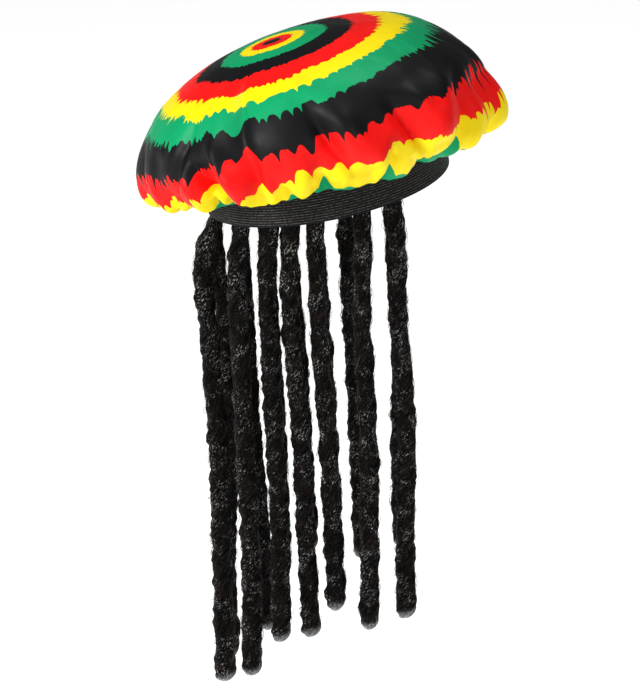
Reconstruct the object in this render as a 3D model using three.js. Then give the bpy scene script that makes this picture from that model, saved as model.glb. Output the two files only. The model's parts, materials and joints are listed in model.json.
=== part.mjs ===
// A costume rasta tam: a circle of printed satin gathered into a ribbed elastic headband,
// with thick locks of artificial hair that hang from inside the band.
// Millimetres. +X is the wearer's front, +Y the wearer's left, +Z up, with the head upright.
// The origin is the centre of the headband's lower rim, where the tam sits on a head.
import * as THREE from "three";

// The headband: an oval ring of elastic, worn with its front edge raised.
const rimLength = 196; // outside, front to back
const rimWidth = 158; // outside, side to side
const bandHeight = 30;
const bandWall = 1.8;
const bandPitch = 9.5; // degrees, front up
const ribPitch = 2.5;
const ribDepth = 0.5;

// The crown: a puffed disc of cloth that leans back and to the wearer's left.
const discLength = 296; // across the fullest line, front to back
const discWidth = 262; // across the fullest line, side to side
const discForward = -12; // the disc's centre from the centre of the lower rim
const discLeft = 6;
const discUp = 52;
const discLeanBack = 16.6; // degrees
const discLeanLeft = 10.1; // degrees
const domeHeight = 73; // from the fullest line to the top
const topShift = 8; // how far the top lies behind the disc's centre
const clothWall = 1.5;
const cuffDepth = 8; // cloth turned down inside the band
const seamGap = 0.6; // between the cloth and the band, and the locks and the band

// The cloth below the fullest line rolls under and back up to the band.
const rollFall = 46; // how far it keeps going down before it turns in
const rollSwell = 22; // how far it swells out beyond the fullest line on its way down
const hemTuck = 26; // how far out from the band it turns up again
const hemSag = 30; // how far below the band's top it turns up again
const gatherCount = 18;
const gatherDepth = 5;
const foldDepth = 9;

// The locks: bundles of hair, flat where they are sewn in and round below.
const lockLength = 415; // the longest, from the rim to its tip
const lockThickness = 15;
const rootHeight = 17; // sewn to the band above its lower rim
const rootWidth = 15;
const rootThickness = 5;
const rootDrop = 3; // stays flat this far below the rim
const flareDrop = 26; // is round this far below the rim
const tipLength = 9; // rounds off over this length
const lumpDepth = 1.4;
const lumpSpacing = 42;
const tipSwell = 2; // how much thicker a lock is near its tip than near the band

// How finely each piece is divided.
const crownSegments = 72;
const domeRows = 10;
const rollRows = 9;
const bandSegments = 36;
const lockSides = 6;
const lockRows = 19;

const TURN = 2 * Math.PI;
const radians = THREE.MathUtils.degToRad;
const mix = THREE.MathUtils.lerp;
const smooth = THREE.MathUtils.smoothstep;

// How the cloth hangs on each side. Turns are degrees round from the front, over the wearer's left.
// Fall, swell, tuck and sag are shares of rollFall, rollSwell, hemTuck and hemSag, full is a share of the
// disc's own radius, and square is the power of the dome's curve, 2 for an ellipse.
const sides = [
  { side: "front", turn: 0, fall: 1.0, swell: 1.3, tuck: 1.0, sag: 0.3, full: 0.985, square: 2.05 },
  { side: "front left", turn: 45, fall: 1.0, swell: 0.8, tuck: 1.0, sag: 0.5, full: 1.0, square: 2.3 },
  { side: "left", turn: 90, fall: 0.8, swell: 0.3, tuck: 1.0, sag: 0.7, full: 1.0, square: 2.1 },
  { side: "back left", turn: 135, fall: 0.7, swell: 0.1, tuck: 1.0, sag: 0.8, full: 1.0, square: 1.9 },
  { side: "back", turn: 180, fall: 0.66, swell: 0.2, tuck: 1.0, sag: 0.45, full: 0.985, square: 1.8 },
  { side: "back right", turn: 225, fall: 0.75, swell: 0.1, tuck: 0.8, sag: 0.1, full: 0.99, square: 1.9 },
  { side: "right", turn: 270, fall: 0.8, swell: 0.2, tuck: 0.7, sag: -0.1, full: 1.0, square: 2.1 },
  { side: "front right", turn: 315, fall: 0.9, swell: 0.7, tuck: 0.8, sag: 0.0, full: 1.0, square: 2.1 },
];

// The main folds. Along is 0 at the top, 1 at the fullest line and 2 at the band.
// Depth is a share of foldDepth, inward where it is negative. Slant is in degrees for each unit of along.
const folds = [
  { fold: "deep crease, back right", turn: 216, wide: 5, depth: -1.0, from: 0.75, to: 1.75, slant: 10 },
  { fold: "pouch beside it", turn: 228, wide: 6, depth: 0.6, from: 0.9, to: 1.8, slant: 6 },
  { fold: "long crease", turn: 236, wide: 6, depth: -0.5, from: 0.35, to: 1.5, slant: -6 },
  { fold: "front edge fold", turn: 330, wide: 5, depth: -0.9, from: 0.9, to: 1.9, slant: 8 },
  { fold: "front ridge", turn: 318, wide: 7, depth: 0.5, from: 0.7, to: 1.8, slant: 4 },
  { fold: "swell at the top, front left", turn: 44, wide: 26, depth: 0.4, from: 0.3, to: 1.0, slant: 0 },
  { fold: "left crease", turn: 70, wide: 6, depth: -0.8, from: 0.7, to: 1.8, slant: 8 },
  { fold: "back left crease", turn: 140, wide: 6, depth: -0.9, from: 0.7, to: 1.7, slant: -8 },
];

// The locks from the wearer's right temple round the back to the left one. Turn is in degrees from
// the front, over the wearer's left. Long is a share of lockLength and girth one of lockThickness. The rest
// is how far the lock strays to the front at five stations down its length, and outward as a whole, in
// shares of lockThickness.
const locks = [
  { turn: -57, long: 0.87, girth: 1.05, neck: 0.1, high: 0, mid: 0.3, low: 0.1, tip: 0, out: 0.1 },
  { turn: -74, long: 0.87, girth: 1.05, neck: -0.05, high: -0.22, mid: -0.08, low: -0.19, tip: -0.33, out: 0.15 },
  { turn: -97, long: 0.81, girth: 1, neck: -0.03, high: -0.02, mid: 0.2, low: 0.33, tip: 0.38, out: 0.1 },
  { turn: -109, long: 0.86, girth: 1, neck: -0.2, high: -0.2, mid: 0.1, low: 0.16, tip: 0.25, out: 0.15 },
  { turn: -120, long: 0.87, girth: 1.05, neck: -0.27, high: -0.31, mid: -0.21, low: -0.15, tip: -0.29, out: 0.1 },
  { turn: -139, long: 0.95, girth: 1.1, neck: -0.33, high: -0.27, mid: -0.24, low: -0.17, tip: -0.37, out: 0.1 },
  { turn: -172, long: 1, girth: 1.12, neck: -0.75, high: -0.55, mid: -0.35, low: -0.42, tip: -0.53, out: 0 },
  { turn: 163, long: 0.99, girth: 1.05, neck: -0.25, high: 0.15, mid: 0.16, low: -0.3, tip: -0.36, out: 0.1 },
  { turn: 139, long: 0.97, girth: 1, neck: -0.1, high: -0.03, mid: 0.05, low: 0.3, tip: 0.52, out: 0.1 },
  { turn: 120, long: 0.86, girth: 1, neck: -0.27, high: -0.31, mid: -0.21, low: -0.15, tip: -0.2, out: 0.1 },
  { turn: 109, long: 0.84, girth: 1, neck: -0.2, high: -0.16, mid: 0.1, low: 0.18, tip: 0.25, out: 0.1 },
  { turn: 97, long: 0.82, girth: 1, neck: -0.03, high: 0.02, mid: 0.22, low: 0.33, tip: 0.36, out: 0.15 },
  { turn: 81, long: 0.88, girth: 1, neck: -0.12, high: -0.07, mid: 0.1, low: 0.2, tip: 0.23, out: 0.1 },
  { turn: 57, long: 0.86, girth: 1, neck: 0.05, high: 0.05, mid: 0.25, low: 0.05, tip: 0, out: 0.1 },
];

const materials = {
  satin: { color: 0xd81f1c, roughness: 0.45, metalness: 0 },
  elastic: { color: 0x1b1a19, roughness: 0.85, metalness: 0 },
  hair: { color: 0x171310, roughness: 0.7, metalness: 0 },
};

function namedMesh(name, geometry, look) {
  const mesh = new THREE.Mesh(geometry, new THREE.MeshStandardMaterial(materials[look]));
  mesh.name = name;
  return mesh;
}

// A grid of points, one row for each station down a profile and one column for each segment round it,
// as a lathed surface. The profile starts and ends on the axis, or is closed where it comes round.
function lathedGrid(grid, segments, closed) {
  const rows = closed ? [...grid, grid[0]] : grid;
  const profile = rows.map((row, index) => new THREE.Vector2(1, index));
  const geometry = new THREE.LatheGeometry(profile, segments);
  const position = geometry.getAttribute("position");
  for (let vertex = 0; vertex < position.count; vertex++) {
    const column = Math.floor(vertex / rows.length) % segments;
    const point = rows[vertex % rows.length][column];
    position.setXYZ(vertex, point.x, point.y, point.z);
  }
  geometry.setIndex(withoutFlatTriangles(geometry));
  geometry.computeVertexNormals();
  return geometry;
}

// The triangles of a lathed surface, less those that shrink to a line at a pole.
function withoutFlatTriangles(geometry) {
  const position = geometry.getAttribute("position");
  const corners = geometry.getIndex().array;
  const kept = [];
  const at = (corner) => new THREE.Vector3().fromBufferAttribute(position, corner);
  for (let start = 0; start < corners.length; start += 3) {
    const [a, b, c] = corners.slice(start, start + 3);
    const flat = at(a).equals(at(b)) || at(b).equals(at(c)) || at(c).equals(at(a));
    if (!flat) kept.push(a, b, c);
  }
  return kept;
}

// The headband's own frame: forward, left and up, tipped by its pitch.
const bandForward = new THREE.Vector3(Math.cos(radians(bandPitch)), 0, Math.sin(radians(bandPitch)));
const bandLeft = new THREE.Vector3(0, 1, 0);
const bandUp = new THREE.Vector3().crossVectors(bandForward, bandLeft);

// A point on the band's oval, set in from its outside and raised above its lower rim.
function bandPoint(turn, inset, up) {
  const forward = (rimLength / 2 - inset) * Math.cos(turn);
  const left = (rimWidth / 2 - inset) * Math.sin(turn);
  return new THREE.Vector3()
    .addScaledVector(bandForward, forward)
    .addScaledVector(bandLeft, left)
    .addScaledVector(bandUp, up);
}

// The way out from the band, square to its oval.
function bandOutward(turn) {
  return new THREE.Vector3()
    .addScaledVector(bandForward, Math.cos(turn) / rimLength)
    .addScaledVector(bandLeft, Math.sin(turn) / rimWidth)
    .normalize();
}

// The crown's own frame, leaning back and to the left.
const discUpward = new THREE.Vector3(
  -Math.sin(radians(discLeanBack)),
  Math.sin(radians(discLeanLeft)),
  Math.cos(radians(discLeanBack)) * Math.cos(radians(discLeanLeft)),
).normalize();
const discSideways = new THREE.Vector3().crossVectors(discUpward, new THREE.Vector3(1, 0, 0)).normalize();
const discForwards = new THREE.Vector3().crossVectors(discSideways, discUpward);
const discCentre = new THREE.Vector3(discForward, discLeft, discUp);

function discPoint(turn, out, up) {
  return discCentre
    .clone()
    .addScaledVector(discForwards, (discLength / 2) * out * Math.cos(turn))
    .addScaledVector(discSideways, (discWidth / 2) * out * Math.sin(turn))
    .addScaledVector(discUpward, up);
}

// The value of one column of the sides table at any turn, with a smooth curve between its rows.
function sideValue(turn, column) {
  const step = TURN / sides.length;
  const place = THREE.MathUtils.euclideanModulo(turn, TURN) / step;
  const index = Math.floor(place) % sides.length;
  const next = (index + 1) % sides.length;
  return mix(sides[index][column], sides[next][column], smooth(place - Math.floor(place), 0, 1));
}

// The smooth cloth, before its folds. Along is 0 at the top, 1 at the fullest line and 2 at the band.
function smoothCloth(turn, along) {
  const full = sideValue(turn, "full");
  if (along <= 1) {
    const bow = 2 / sideValue(turn, "square");
    const angle = (along * Math.PI) / 2;
    const out = Math.sin(angle) ** bow * full;
    const up = Math.cos(angle) ** bow;
    return discPoint(turn, out, domeHeight * up).addScaledVector(discForwards, -topShift * up ** 2);
  }
  const share = along - 1;
  const start = discPoint(turn, full, 0);
  const end = bandPoint(turn, 0, bandHeight + seamGap);
  const falling = start
    .clone()
    .addScaledVector(discUpward, -rollFall * sideValue(turn, "fall"))
    .addScaledVector(bandOutward(turn), rollSwell * sideValue(turn, "swell"));
  const rising = end
    .clone()
    .addScaledVector(bandOutward(turn), hemTuck * sideValue(turn, "tuck"))
    .addScaledVector(bandUp, -hemSag * sideValue(turn, "sag"));
  return new THREE.CubicBezierCurve3(start, falling, rising, end).getPoint(share);
}

// How far the gathers and folds move the cloth outward.
function foldOffset(turn, along) {
  const wander = 0.12 * Math.sin(2 * turn + 0.6) + 0.05 * Math.sin(5 * turn + 1.9);
  const lobe = Math.abs(Math.cos((gatherCount * turn) / 2 + gatherCount * wander)) ** 0.8;
  const gathered = smooth(along, 0.85, 1.55) * (1 - smooth(along, 1.75, 2));
  let offset = gatherDepth * (lobe - 0.6) * gathered;
  for (const fold of folds) {
    const middle = (fold.from + fold.to) / 2;
    const centre = radians(fold.turn + fold.slant * (along - middle));
    const aside = Math.atan2(Math.sin(turn - centre), Math.cos(turn - centre)) / radians(fold.wide);
    const share = THREE.MathUtils.clamp((along - fold.from) / (fold.to - fold.from), 0, 1);
    const reach = Math.sin(Math.PI * share);
    offset += foldDepth * fold.depth * Math.exp(-aside * aside) * reach;
  }
  return offset;
}

// The outward normals of a grid of points that comes round on itself.
function gridNormals(grid) {
  return grid.map((row, level) =>
    row.map((point, column) => {
      const next = row[(column + 1) % row.length];
      const previous = row[(column + row.length - 1) % row.length];
      const above = grid[Math.max(level - 1, 0)][column];
      const below = grid[Math.min(level + 1, grid.length - 1)][column];
      const along = new THREE.Vector3().subVectors(below, above);
      const across = new THREE.Vector3().subVectors(next, previous);
      return new THREE.Vector3().crossVectors(along, across).normalize();
    }),
  );
}

function crown() {
  const turns = Array.from({ length: crownSegments }, (_, column) => (column * TURN) / crownSegments);
  const alongs = [];
  for (let row = 1; row <= domeRows; row++) alongs.push(row / domeRows);
  for (let row = 1; row <= rollRows; row++) alongs.push(1 + row / rollRows);
  const plain = alongs.map((along) => turns.map((turn) => smoothCloth(turn, along)));
  const outward = gridNormals(plain);
  const outside = plain.map((row, level) =>
    row.map((point, column) =>
      point.clone().addScaledVector(outward[level][column], foldOffset(turns[column], alongs[level])),
    ),
  );
  const cuffInset = bandWall + seamGap;
  outside.push(turns.map((turn) => bandPoint(turn, cuffInset, bandHeight + seamGap)));
  outside.push(turns.map((turn) => bandPoint(turn, cuffInset, bandHeight - cuffDepth)));
  const facing = gridNormals(outside);
  const inside = outside.map((row, level) =>
    row.map((point, column) => point.clone().addScaledVector(facing[level][column], -clothWall)),
  );
  const top = smoothCloth(0, 0);
  const under = top.clone().addScaledVector(discUpward, -clothWall);
  const grid = [turns.map(() => under), ...inside, ...outside.reverse(), turns.map(() => top)];
  return namedMesh("crown", lathedGrid(grid, crownSegments, false), "satin");
}

function headband() {
  const ribs = Math.round(bandHeight / ribPitch);
  const stations = [];
  for (let rib = 0; rib < ribs; rib++) {
    stations.push({ inset: ribDepth, up: (rib * bandHeight) / ribs });
    stations.push({ inset: 0, up: ((rib + 0.5) * bandHeight) / ribs });
  }
  stations.push({ inset: ribDepth, up: bandHeight });
  stations.push({ inset: bandWall, up: bandHeight });
  stations.push({ inset: bandWall, up: 0 });
  const turns = Array.from({ length: bandSegments }, (_, column) => (column * TURN) / bandSegments);
  const grid = stations.map(({ inset, up }) => turns.map((turn) => bandPoint(turn, inset, up)));
  return namedMesh("headband", lathedGrid(grid, bandSegments, true), "elastic");
}

// How far a lock strays to the front at a share of its length.
function lockStray(lock, share) {
  const places = [0, 0.1, 0.25, 0.5, 0.75, 1];
  const strays = [0, lock.neck, lock.high, lock.mid, lock.low, lock.tip];
  const curve = new THREE.SplineCurve(places.map((place, index) => new THREE.Vector2(place, strays[index])));
  const next = Math.max(1, places.findIndex((place) => place >= share));
  const within = (share - places[next - 1]) / (places[next] - places[next - 1]);
  return curve.getPoint((next - 1 + within) / (places.length - 1)).y * lockThickness;
}

function dreadlock(lock, number) {
  const turn = radians(lock.turn);
  const rootInset = bandWall + seamGap + rootThickness / 2;
  const rim = bandPoint(turn, rootInset, 0);
  const outward = bandOutward(turn);
  const tangent = new THREE.Vector3().crossVectors(outward, bandUp).negate();
  const long = lockLength * lock.long;
  const section = (centre, halfWide, halfThick) =>
    Array.from({ length: lockSides }, (_, side) => {
      const angle = (side * TURN) / lockSides;
      return centre
        .clone()
        .addScaledVector(tangent, halfWide * Math.cos(angle))
        .addScaledVector(outward, halfThick * Math.sin(angle));
    });
  const point = (centre) => Array.from({ length: lockSides }, () => centre);
  const hangingCentre = (hung) => {
    const out = smooth(hung, rootDrop, flareDrop) * lock.out * lockThickness;
    const centre = rim.clone().addScaledVector(outward, out);
    centre.x += lockStray(lock, hung / long);
    centre.z -= hung;
    return centre;
  };
  const grid = [point(bandPoint(turn, rootInset, rootHeight))];
  for (const up of [rootHeight, 0, -rootDrop]) {
    grid.push(section(bandPoint(turn, rootInset, up), rootWidth / 2, rootThickness / 2));
  }
  const straight = long - tipLength;
  for (let row = 1; row <= lockRows; row++) {
    const hung = rootDrop + ((straight - rootDrop) * row) / lockRows;
    const round = smooth(hung, rootDrop, flareDrop);
    const girth = lock.girth * lockThickness + tipSwell * (hung / long - 0.5);
    const lump = round * lumpDepth * Math.sin((hung * TURN) / lumpSpacing + number * 2.4);
    const halfThick = mix(rootThickness, girth + lump, round) / 2;
    const halfWide = mix(rootWidth, girth - lump, round) / 2;
    grid.push(section(hangingCentre(hung), halfWide, halfThick));
  }
  for (const angle of [40, 70]) {
    const girth = lock.girth * lockThickness + tipSwell / 2;
    const hung = straight + tipLength * Math.sin(radians(angle));
    const half = (girth / 2) * Math.cos(radians(angle));
    grid.push(section(hangingCentre(hung), half, half));
  }
  grid.push(point(hangingCentre(long)));
  const name = `dreadlock_${String(number).padStart(2, "0")}`;
  return namedMesh(name, lathedGrid(grid, lockSides, false), "hair");
}

const tam = new THREE.Group();
tam.add(crown());
tam.add(headband());
locks.forEach((lock, index) => tam.add(dreadlock(lock, index + 1)));

export default tam;
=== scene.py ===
# %% [markdown]
# # A rasta tam with dreadlocks
# The real hat is one circle of printed satin, gathered all round into a ribbed elastic headband, with thick
# locks of artificial hair sewn inside the band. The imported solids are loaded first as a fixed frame. Each
# soft piece is then made again, finely, in the place of its solid.

# %% The frame
import json
import math
import random

import bmesh
import bpy
from mathutils import Matrix, Vector, noise

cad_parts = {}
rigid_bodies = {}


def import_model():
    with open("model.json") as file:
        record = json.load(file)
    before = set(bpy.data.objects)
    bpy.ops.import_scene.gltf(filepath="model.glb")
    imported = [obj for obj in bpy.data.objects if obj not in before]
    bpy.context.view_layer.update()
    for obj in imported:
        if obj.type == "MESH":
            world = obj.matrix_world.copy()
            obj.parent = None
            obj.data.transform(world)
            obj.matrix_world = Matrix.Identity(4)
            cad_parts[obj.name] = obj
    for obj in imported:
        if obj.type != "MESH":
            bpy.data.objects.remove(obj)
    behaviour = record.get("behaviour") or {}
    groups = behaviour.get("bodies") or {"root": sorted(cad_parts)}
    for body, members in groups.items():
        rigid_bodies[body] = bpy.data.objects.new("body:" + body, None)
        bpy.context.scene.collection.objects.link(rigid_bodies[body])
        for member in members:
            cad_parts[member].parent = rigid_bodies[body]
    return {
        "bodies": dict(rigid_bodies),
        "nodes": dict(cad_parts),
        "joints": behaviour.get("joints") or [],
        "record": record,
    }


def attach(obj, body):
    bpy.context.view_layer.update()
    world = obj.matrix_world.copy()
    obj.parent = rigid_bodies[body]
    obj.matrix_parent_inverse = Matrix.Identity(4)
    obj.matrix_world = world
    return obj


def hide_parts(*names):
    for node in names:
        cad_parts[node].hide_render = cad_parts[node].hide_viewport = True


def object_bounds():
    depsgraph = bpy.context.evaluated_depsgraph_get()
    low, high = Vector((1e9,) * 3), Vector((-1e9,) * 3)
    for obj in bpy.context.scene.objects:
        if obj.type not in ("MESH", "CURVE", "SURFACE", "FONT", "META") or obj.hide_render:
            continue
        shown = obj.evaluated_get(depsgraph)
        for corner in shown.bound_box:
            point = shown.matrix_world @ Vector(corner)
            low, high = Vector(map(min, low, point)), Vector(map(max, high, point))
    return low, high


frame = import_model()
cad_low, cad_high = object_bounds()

MM = 0.001
print("frame:", len(frame["nodes"]), "nodes, box", [round(b - a, 3) for a, b in zip(cad_low, cad_high)])

# %% [markdown]
# ## Small helpers
# A finished BMesh becomes a mesh, and a mesh becomes an object. A material is a chain of small sums. Its
# helpers add one node at a time and link it, so that a pattern reads like a formula.

# %% Objects and meshes


def linked(name, data):
    """A new object in the scene."""
    made = bpy.data.objects.new(name, data)
    bpy.context.scene.collection.objects.link(made)
    return made


def finished_mesh(bm, name):
    """The mesh of a finished BMesh, which is then freed."""
    mesh = bpy.data.meshes.new(name)
    bm.to_mesh(mesh)
    bm.free()
    return mesh


def evaluated_mesh(holder):
    """The mesh that a holder's modifiers or curves come to. The holder is then removed."""
    graph = bpy.context.evaluated_depsgraph_get()
    mesh = bpy.data.meshes.new_from_object(holder.evaluated_get(graph))
    bpy.data.objects.remove(holder)
    return mesh


def spin_round(bm, line, steps):
    """Spins a line of points and edges once round the Z axis, and closes the seam."""
    bmesh.ops.spin(
        bm, geom=line, cent=(0, 0, 0), axis=(0, 0, 1), angle=math.tau, steps=steps, use_merge=True
    )
    bmesh.ops.remove_doubles(bm, verts=bm.verts, dist=1e-6)


# %% Node helpers


class Nodes:
    """A material or node group's tree, with one short method for each kind of node."""

    def __init__(self, tree):
        self.tree = tree

    def add(self, kind, **settings):
        node = self.tree.nodes.new(kind)
        for name, value in settings.items():
            setattr(node, name, value)
        return node

    def put(self, socket, value):
        if isinstance(value, bpy.types.NodeSocket):
            self.tree.links.new(value, socket)
        else:
            socket.default_value = value

    def fill(self, node, values):
        """Puts each value, or links each socket, to the input of that name."""
        for name, value in values.items():
            self.put(node.inputs[name], value)

    def math(self, operation, *values):
        node = self.add("ShaderNodeMath", operation=operation)
        for socket, value in zip(node.inputs, values):
            self.put(socket, value)
        return node.outputs[0]

    def plus(self, first, second):
        return self.math("ADD", first, second)

    def minus(self, first, second):
        return self.math("SUBTRACT", first, second)

    def times(self, first, second):
        return self.math("MULTIPLY", first, second)

    def peak(self, noise, sharpness):
        """1 where a noise crosses its middle value, falling to 0 on both sides."""
        away = self.math("ABSOLUTE", self.minus(noise, 0.5))
        return self.math("MAXIMUM", self.minus(1.0, self.times(away, sharpness)), 0.0)

    def split(self, vector):
        """The three parts of a vector, by their names X, Y and Z."""
        node = self.add("ShaderNodeSeparateXYZ")
        self.put(node.inputs[0], vector)
        return node.outputs

    def vector(self, operation, first, second=None, scale=None):
        node = self.add("ShaderNodeVectorMath", operation=operation)
        self.put(node.inputs[0], first)
        if second is not None:
            self.put(node.inputs[1], second)
        if scale is not None:
            self.put(node.inputs["Scale"], scale)
        return node.outputs["Value" if operation in ("LENGTH", "DOT_PRODUCT") else "Vector"]

    def noise(self, place, scale, detail=0.0, rough=0.5):
        node = self.add("ShaderNodeTexNoise")
        self.put(node.inputs["Vector"], place)
        self.put(node.inputs["Scale"], scale)
        node.inputs["Detail"].default_value = detail
        node.inputs["Roughness"].default_value = rough
        return node.outputs["Fac"]

    def remap(self, value, low, high, to_low=0.0, to_high=1.0):
        node = self.add("ShaderNodeMapRange", interpolation_type="SMOOTHSTEP")
        for socket, entry in zip(node.inputs, (value, low, high, to_low, to_high)):
            self.put(socket, entry)
        return node.outputs["Result"]

    def mix(self, share, first, second):
        node = self.add("ShaderNodeMix", data_type="RGBA")
        self.put(node.inputs["Factor"], share)
        self.put(node.inputs[6], first)
        self.put(node.inputs[7], second)
        return node.outputs[2]

    def bump(self, height, strength, distance, normal=None):
        node = self.add("ShaderNodeBump")
        node.inputs["Strength"].default_value = strength
        node.inputs["Distance"].default_value = distance
        self.put(node.inputs["Height"], height)
        if normal is not None:
            self.put(node.inputs["Normal"], normal)
        return node.outputs["Normal"]


def new_material(name):
    material = bpy.data.materials.new(name)
    material.use_nodes = True
    return material, Nodes(material.node_tree), material.node_tree.nodes["Principled BSDF"]


# %% [markdown]
# ## Camera
# The photograph was taken from the wearer's right, a little above the hat, with a long lens. A long lens far
# away keeps the band's near and far sides almost the same size, so the camera stands four metres off.
# The lens is worked out for the photograph's own frame, 640 by 700 pixels, and the camera is turned by two
# degrees, as it was.

# %% The camera
PHOTO_WIDE = 640  # pixels
PIXELS_PER_METRE = 1244.0
CAMERA_RISE = math.radians(23.0)
CAMERA_ROLL = math.radians(2.1)
CAMERA_DISTANCE = 4.0
CAMERA_AIM = Vector((-0.0112, 0.0, -0.142))


def add_camera():
    """The camera looks along +Y and down, and rolls so that a level line rises to the right."""
    level = Vector((1, 0, 0))
    rising = Vector((0, math.sin(CAMERA_RISE), math.cos(CAMERA_RISE)))
    right = math.cos(CAMERA_ROLL) * level - math.sin(CAMERA_ROLL) * rising
    up = math.sin(CAMERA_ROLL) * level + math.cos(CAMERA_ROLL) * rising
    back = right.cross(up)
    data = bpy.data.cameras.new("camera")
    data.sensor_fit = "HORIZONTAL"
    data.lens = data.sensor_width * CAMERA_DISTANCE * PIXELS_PER_METRE / PHOTO_WIDE
    data.clip_end = 50
    camera = linked("camera", data)
    turn = Matrix((right, up, back)).transposed()
    camera.matrix_world = Matrix.Translation(CAMERA_AIM + CAMERA_DISTANCE * back) @ turn.to_4x4()
    bpy.context.scene.camera = camera
    print("camera: lens", round(data.lens), "mm")


add_camera()

# %% [markdown]
# ## Floor and light
# The floor is plain and almost white, and lies well below the locks, because a head holds the hat up.
# A studio lights cloth like this with large soft boxes. One stands high on the left and gives the satin its
# broad gloss, a weak one fills from the right, one hangs above, and the white room lights the rest.

# %% The floor
FLOOR_DROP = 0.35  # below the lowest lock
FLOOR_GLOW = 0.62


def floor_paper():
    material, n, shader = new_material("floor_paper")
    white = (1, 1, 1, 1)
    n.fill(shader, {"Base Color": (0.9, 0.9, 0.9, 1), "Roughness": 0.9})
    n.fill(shader, {"Emission Color": white, "Emission Strength": FLOOR_GLOW})
    return material


def add_floor():
    bm = bmesh.new()
    bmesh.ops.create_grid(bm, x_segments=1, y_segments=1, size=12)
    bmesh.ops.translate(bm, verts=bm.verts, vec=(0, 0, cad_low.z - FLOOR_DROP))
    mesh = finished_mesh(bm, "floor")
    mesh.materials.append(floor_paper())
    linked("floor", mesh)


add_floor()

# %% The lights
# Name, place, size in metres and power in watts.
SOFT_BOXES = [
    ("key", (-2.2, -1.7, 1.5), 0.9, 96),
    ("front", (1.3, -2.6, 1.1), 0.9, 16),
    ("top", (0.6, 0.3, 3.0), 1.2, 40),
]
ROOM_LIGHT = 0.14


def add_lights():
    for name, place, size, power in SOFT_BOXES:
        data = bpy.data.lights.new(name, "AREA")
        data.size = size
        data.energy = power
        lamp = linked(name, data)
        lamp.location = place
        lamp.rotation_euler = (-Vector(place)).to_track_quat("-Z", "Y").to_euler()
    world = bpy.data.worlds.new("white_room")
    world.use_nodes = True
    background = world.node_tree.nodes["Background"]
    background.inputs["Strength"].default_value = ROOM_LIGHT
    background.inputs["Color"].default_value = (1, 1, 1, 1)
    bpy.context.scene.world = world
    bpy.context.scene.view_settings.view_transform = "Standard"
    bpy.context.scene.view_settings.look = "None"


add_lights()

# %% [markdown]
# ## The printed satin
# The cloth is printed with rings before it is cut: black, red, yellow and green, over and over, with edges
# torn into flames that get longer away from the middle. The print belongs to the cloth and not to the hat, so
# the pattern is worked out on the flat circle, from each point's distance and direction from the middle. The
# mesh keeps those flat places in its UV map, and the rings then follow every fold.

# %% The print's rings
CLOTH_RADIUS = 0.243
INKS = {
    "black": (0.0032, 0.0032, 0.0042, 1),
    "red": (0.90, 0.005, 0.004, 1),
    "yellow": (0.95, 0.74, 0.001, 1),
    "green": (0.0, 0.33, 0.12, 1),
}
# Each ring's ink, its outer edge, the reach of its teeth, and how many there are round it.
RINGS = [
    ("black", 0.007, 0.0015, 14),
    ("red", 0.016, 0.0018, 22),
    ("yellow", 0.026, 0.0022, 30),
    ("green", 0.043, 0.003, 52),
    ("black", 0.065, 0.005, 64),
    ("red", 0.087, 0.006, 52),
    ("yellow", 0.106, 0.008, 50),
    ("green", 0.128, 0.010, 50),
    ("black", 0.160, 0.015, 50),
    ("red", 0.181, 0.013, 46),
    ("yellow", 0.215, 0.010, 40),
    ("green", 0.300, 0.0, 1),
]
CALM_TURN = math.radians(308)  # the print's teeth are lowest here
CALM_SHARE = 0.42
EDGE_BLUR = 0.0003


def torn_edge_group():
    """A node group that says how far inside a torn ring edge a point lies, from 0 outside to 1 inside."""
    tree = bpy.data.node_groups.new("torn_edge", "ShaderNodeTree")
    for name in ("Distance", "Edge", "Reach", "Teeth", "Seed"):
        tree.interface.new_socket(name, in_out="INPUT", socket_type="NodeSocketFloat")
    tree.interface.new_socket("Direction", in_out="INPUT", socket_type="NodeSocketVector")
    tree.interface.new_socket("Inside", in_out="OUTPUT", socket_type="NodeSocketFloat")
    n = Nodes(tree)
    given = n.add("NodeGroupInput").outputs
    seed = n.add("ShaderNodeCombineXYZ")
    n.put(seed.inputs["Z"], given["Seed"])
    round_size = n.times(given["Teeth"], 0.2)
    place = n.vector("ADD", n.vector("SCALE", given["Direction"], scale=round_size), seed.outputs[0])
    # Where the noise crosses its middle value the edge comes to a point, and between it bows.
    point = n.math("POWER", n.peak(n.noise(place, 1.25), 5.0), 1.5)
    spike = n.peak(n.noise(place, 3.1), 7.0)
    # Fine spikes stand between the points where the print faces the wearer's front and back.
    sideness = n.math("POWER", n.math("ABSOLUTE", n.split(given["Direction"])["X"]), 2.0)
    spike_share = n.plus(0.02, n.times(sideness, 0.6))
    drift = n.minus(n.noise(place, 0.33), 0.5)
    teeth = n.plus(n.times(point, 0.75), n.times(spike, spike_share))
    teeth = n.plus(n.minus(teeth, 0.45), drift)
    calm_way = (math.cos(CALM_TURN), math.sin(CALM_TURN), 0.0)
    toward = n.vector("DOT_PRODUCT", given["Direction"], calm_way)
    teeth = n.times(teeth, n.remap(toward, 0.80, 0.98, 1.0, CALM_SHARE))
    edge = n.plus(given["Edge"], n.times(teeth, given["Reach"]))
    inside = n.minus(edge, given["Distance"])
    n.put(n.add("NodeGroupOutput").inputs["Inside"], n.remap(inside, -EDGE_BLUR, EDGE_BLUR))
    return tree


TORN_EDGE = torn_edge_group()
print("print:", len(RINGS), "rings")

# %% [markdown]
# Satin is mostly long floats of thread in one direction, so it is smooth, with a soft gloss that is broader
# than a plastic's. A fine twill line and the small dents of handling are enough at this distance. The reverse
# of the cloth shows the print only faintly, as ink does that has come through.

# %% The satin materials


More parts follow.
